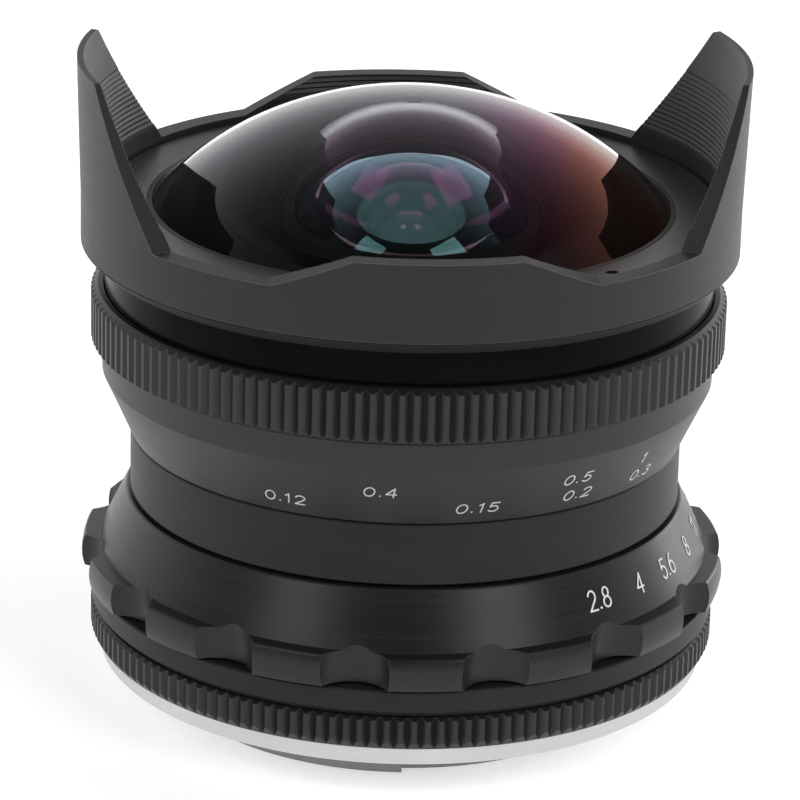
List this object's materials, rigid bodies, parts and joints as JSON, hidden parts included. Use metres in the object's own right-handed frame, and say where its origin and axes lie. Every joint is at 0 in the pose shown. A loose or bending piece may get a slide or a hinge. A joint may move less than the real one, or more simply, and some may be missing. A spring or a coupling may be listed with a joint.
{
  "type": "fisheye camera lens",
  "caption": "Manual fisheye lens with a petal hood, bulging front element, knurled focus ring, scooped aperture ring and silver bayonet mount.",
  "frame": {"origin": "centre of the rear face of the mount flange", "axes": "+Z along the optical axis out of the front; -Y towards the side that the picture shows; +X to its right"},
  "size_m": [0.0648, 0.0644, 0.0649],
  "materials": {
    "black_metal": "satin",
    "gloss_black": "gloss",
    "inner_metal": "matte",
    "mount_metal": "satin",
    "steel": "satin",
    "blade_steel": "satin",
    "brass": "satin",
    "black_plastic": "matte",
    "coated_glass": "clear"
  },
  "bodies": {
    "root": {"mount_flange": "mount_metal", "mount_screws": "steel", "rear_baffle": "black_plastic", "main_barrel": "inner_metal", "rear_grip_ring": "black_metal", "rear_collar": "black_metal", "guide_keys": "steel", "index_ring": "black_metal", "index_set_screws": "steel", "focus_retainer": "inner_metal", "focus_stop_screw": "steel", "click_ball": "steel", "click_spring": "steel"},
    "focus_ring": {"focus_ring": "black_metal", "helicoid_ring": "brass"},
    "front_group": {"front_sleeve": "gloss_black", "optical_barrel": "inner_metal", "barrel_screws": "steel", "front_cell": "inner_metal", "front_band": "black_metal", "hood": "black_metal", "hood_screws": "steel", "name_ring": "black_metal", "front_seal": "black_plastic", "element_1": "coated_glass", "element_2": "coated_glass", "element_3": "coated_glass", "element_4": "coated_glass", "element_5": "coated_glass", "element_6": "coated_glass", "element_7": "coated_glass", "element_8": "coated_glass", "element_9": "coated_glass", "element_10": "coated_glass", "element_11": "coated_glass", "element_2_retainer": "inner_metal", "element_3_retainer": "inner_metal", "front_spacer": "inner_metal", "rear_cell": "inner_metal", "rear_spacer_1": "inner_metal", "rear_spacer_2": "inner_metal", "rear_retainer": "inner_metal", "iris_housing": "inner_metal", "iris_cover": "inner_metal"},
    "aperture_ring": {"aperture_ring": "black_metal", "aperture_pin": "steel"},
    "iris_ring": {"iris_ring": "inner_metal"},
    "blade_01": {"iris_blade_01": "blade_steel"},
    "blade_02": {"iris_blade_02": "blade_steel"},
    "blade_03": {"iris_blade_03": "blade_steel"},
    "blade_04": {"iris_blade_04": "blade_steel"},
    "blade_05": {"iris_blade_05": "blade_steel"},
    "blade_06": {"iris_blade_06": "blade_steel"},
    "blade_07": {"iris_blade_07": "blade_steel"},
    "blade_08": {"iris_blade_08": "blade_steel"},
    "blade_09": {"iris_blade_09": "blade_steel"},
    "blade_10": {"iris_blade_10": "blade_steel"},
    "blade_11": {"iris_blade_11": "blade_steel"},
    "blade_12": {"iris_blade_12": "blade_steel"}
  },
  "joints": [
    {"name": "focus", "type": "hinge", "parent": "root", "child": "focus_ring", "pos_m": [0, 0, 0.0304], "axis": [0, 0, 1], "range_deg": [0, 125]},
    {"name": "focus_travel", "type": "slide", "parent": "root", "child": "front_group", "axis": [0, 0, 1], "range_m": [0, 0.000701]},
    {"name": "aperture", "type": "hinge", "parent": "root", "child": "aperture_ring", "pos_m": [0, 0, 0.0125], "axis": [0, 0, 1], "range_deg": [0, 58]},
    {"name": "iris_drive", "type": "hinge", "parent": "front_group", "child": "iris_ring", "pos_m": [0, 0, 0.0203], "axis": [0, 0, 1], "range_deg": [0, 58]},
    {"name": "blade_01", "type": "hinge", "parent": "front_group", "child": "blade_01", "pos_m": [0, -0.0075, 0.0179], "axis": [0, 0, 1], "range_deg": [0, 29]},
    {"name": "blade_02", "type": "hinge", "parent": "front_group", "child": "blade_02", "pos_m": [0.00375, -0.0065, 0.01806], "axis": [0, 0, 1], "range_deg": [0, 29]},
    {"name": "blade_03", "type": "hinge", "parent": "front_group", "child": "blade_03", "pos_m": [0.0065, -0.00375, 0.01822], "axis": [0, 0, 1], "range_deg": [0, 29]},
    {"name": "blade_04", "type": "hinge", "parent": "front_group", "child": "blade_04", "pos_m": [0.0075, 0, 0.01838], "axis": [0, 0, 1], "range_deg": [0, 29]},
    {"name": "blade_05", "type": "hinge", "parent": "front_group", "child": "blade_05", "pos_m": [0.0065, 0.00375, 0.01854], "axis": [0, 0, 1], "range_deg": [0, 29]},
    {"name": "blade_06", "type": "hinge", "parent": "front_group", "child": "blade_06", "pos_m": [0.00375, 0.0065, 0.0187], "axis": [0, 0, 1], "range_deg": [0, 29]},
    {"name": "blade_07", "type": "hinge", "parent": "front_group", "child": "blade_07", "pos_m": [0, 0.0075, 0.01886], "axis": [0, 0, 1], "range_deg": [0, 29]},
    {"name": "blade_08", "type": "hinge", "parent": "front_group", "child": "blade_08", "pos_m": [-0.00375, 0.0065, 0.01902], "axis": [0, 0, 1], "range_deg": [0, 29]},
    {"name": "blade_09", "type": "hinge", "parent": "front_group", "child": "blade_09", "pos_m": [-0.0065, 0.00375, 0.01918], "axis": [0, 0, 1], "range_deg": [0, 29]},
    {"name": "blade_10", "type": "hinge", "parent": "front_group", "child": "blade_10", "pos_m": [-0.0075, 0, 0.01934], "axis": [0, 0, 1], "range_deg": [0, 29]},
    {"name": "blade_11", "type": "hinge", "parent": "front_group", "child": "blade_11", "pos_m": [-0.0065, -0.00375, 0.0195], "axis": [0, 0, 1], "range_deg": [0, 29]},
    {"name": "blade_12", "type": "hinge", "parent": "front_group", "child": "blade_12", "pos_m": [-0.00375, -0.0065, 0.01966], "axis": [0, 0, 1], "range_deg": [0, 29]}
  ],
  "couplings": [
    {"joint": "focus_travel", "follows": "focus", "m_per_rad": 0.00032086},
    {"joint": "iris_drive", "follows": "aperture", "ratio": 1},
    {"joint": "blade_01", "follows": "aperture", "ratio": 0.5},
    {"joint": "blade_02", "follows": "aperture", "ratio": 0.5},
    {"joint": "blade_03", "follows": "aperture", "ratio": 0.5},
    {"joint": "blade_04", "follows": "aperture", "ratio": 0.5},
    {"joint": "blade_05", "follows": "aperture", "ratio": 0.5},
    {"joint": "blade_06", "follows": "aperture", "ratio": 0.5},
    {"joint": "blade_07", "follows": "aperture", "ratio": 0.5},
    {"joint": "blade_08", "follows": "aperture", "ratio": 0.5},
    {"joint": "blade_09", "follows": "aperture", "ratio": 0.5},
    {"joint": "blade_10", "follows": "aperture", "ratio": 0.5},
    {"joint": "blade_11", "follows": "aperture", "ratio": 0.5},
    {"joint": "blade_12", "follows": "aperture", "ratio": 0.5}
  ]
}
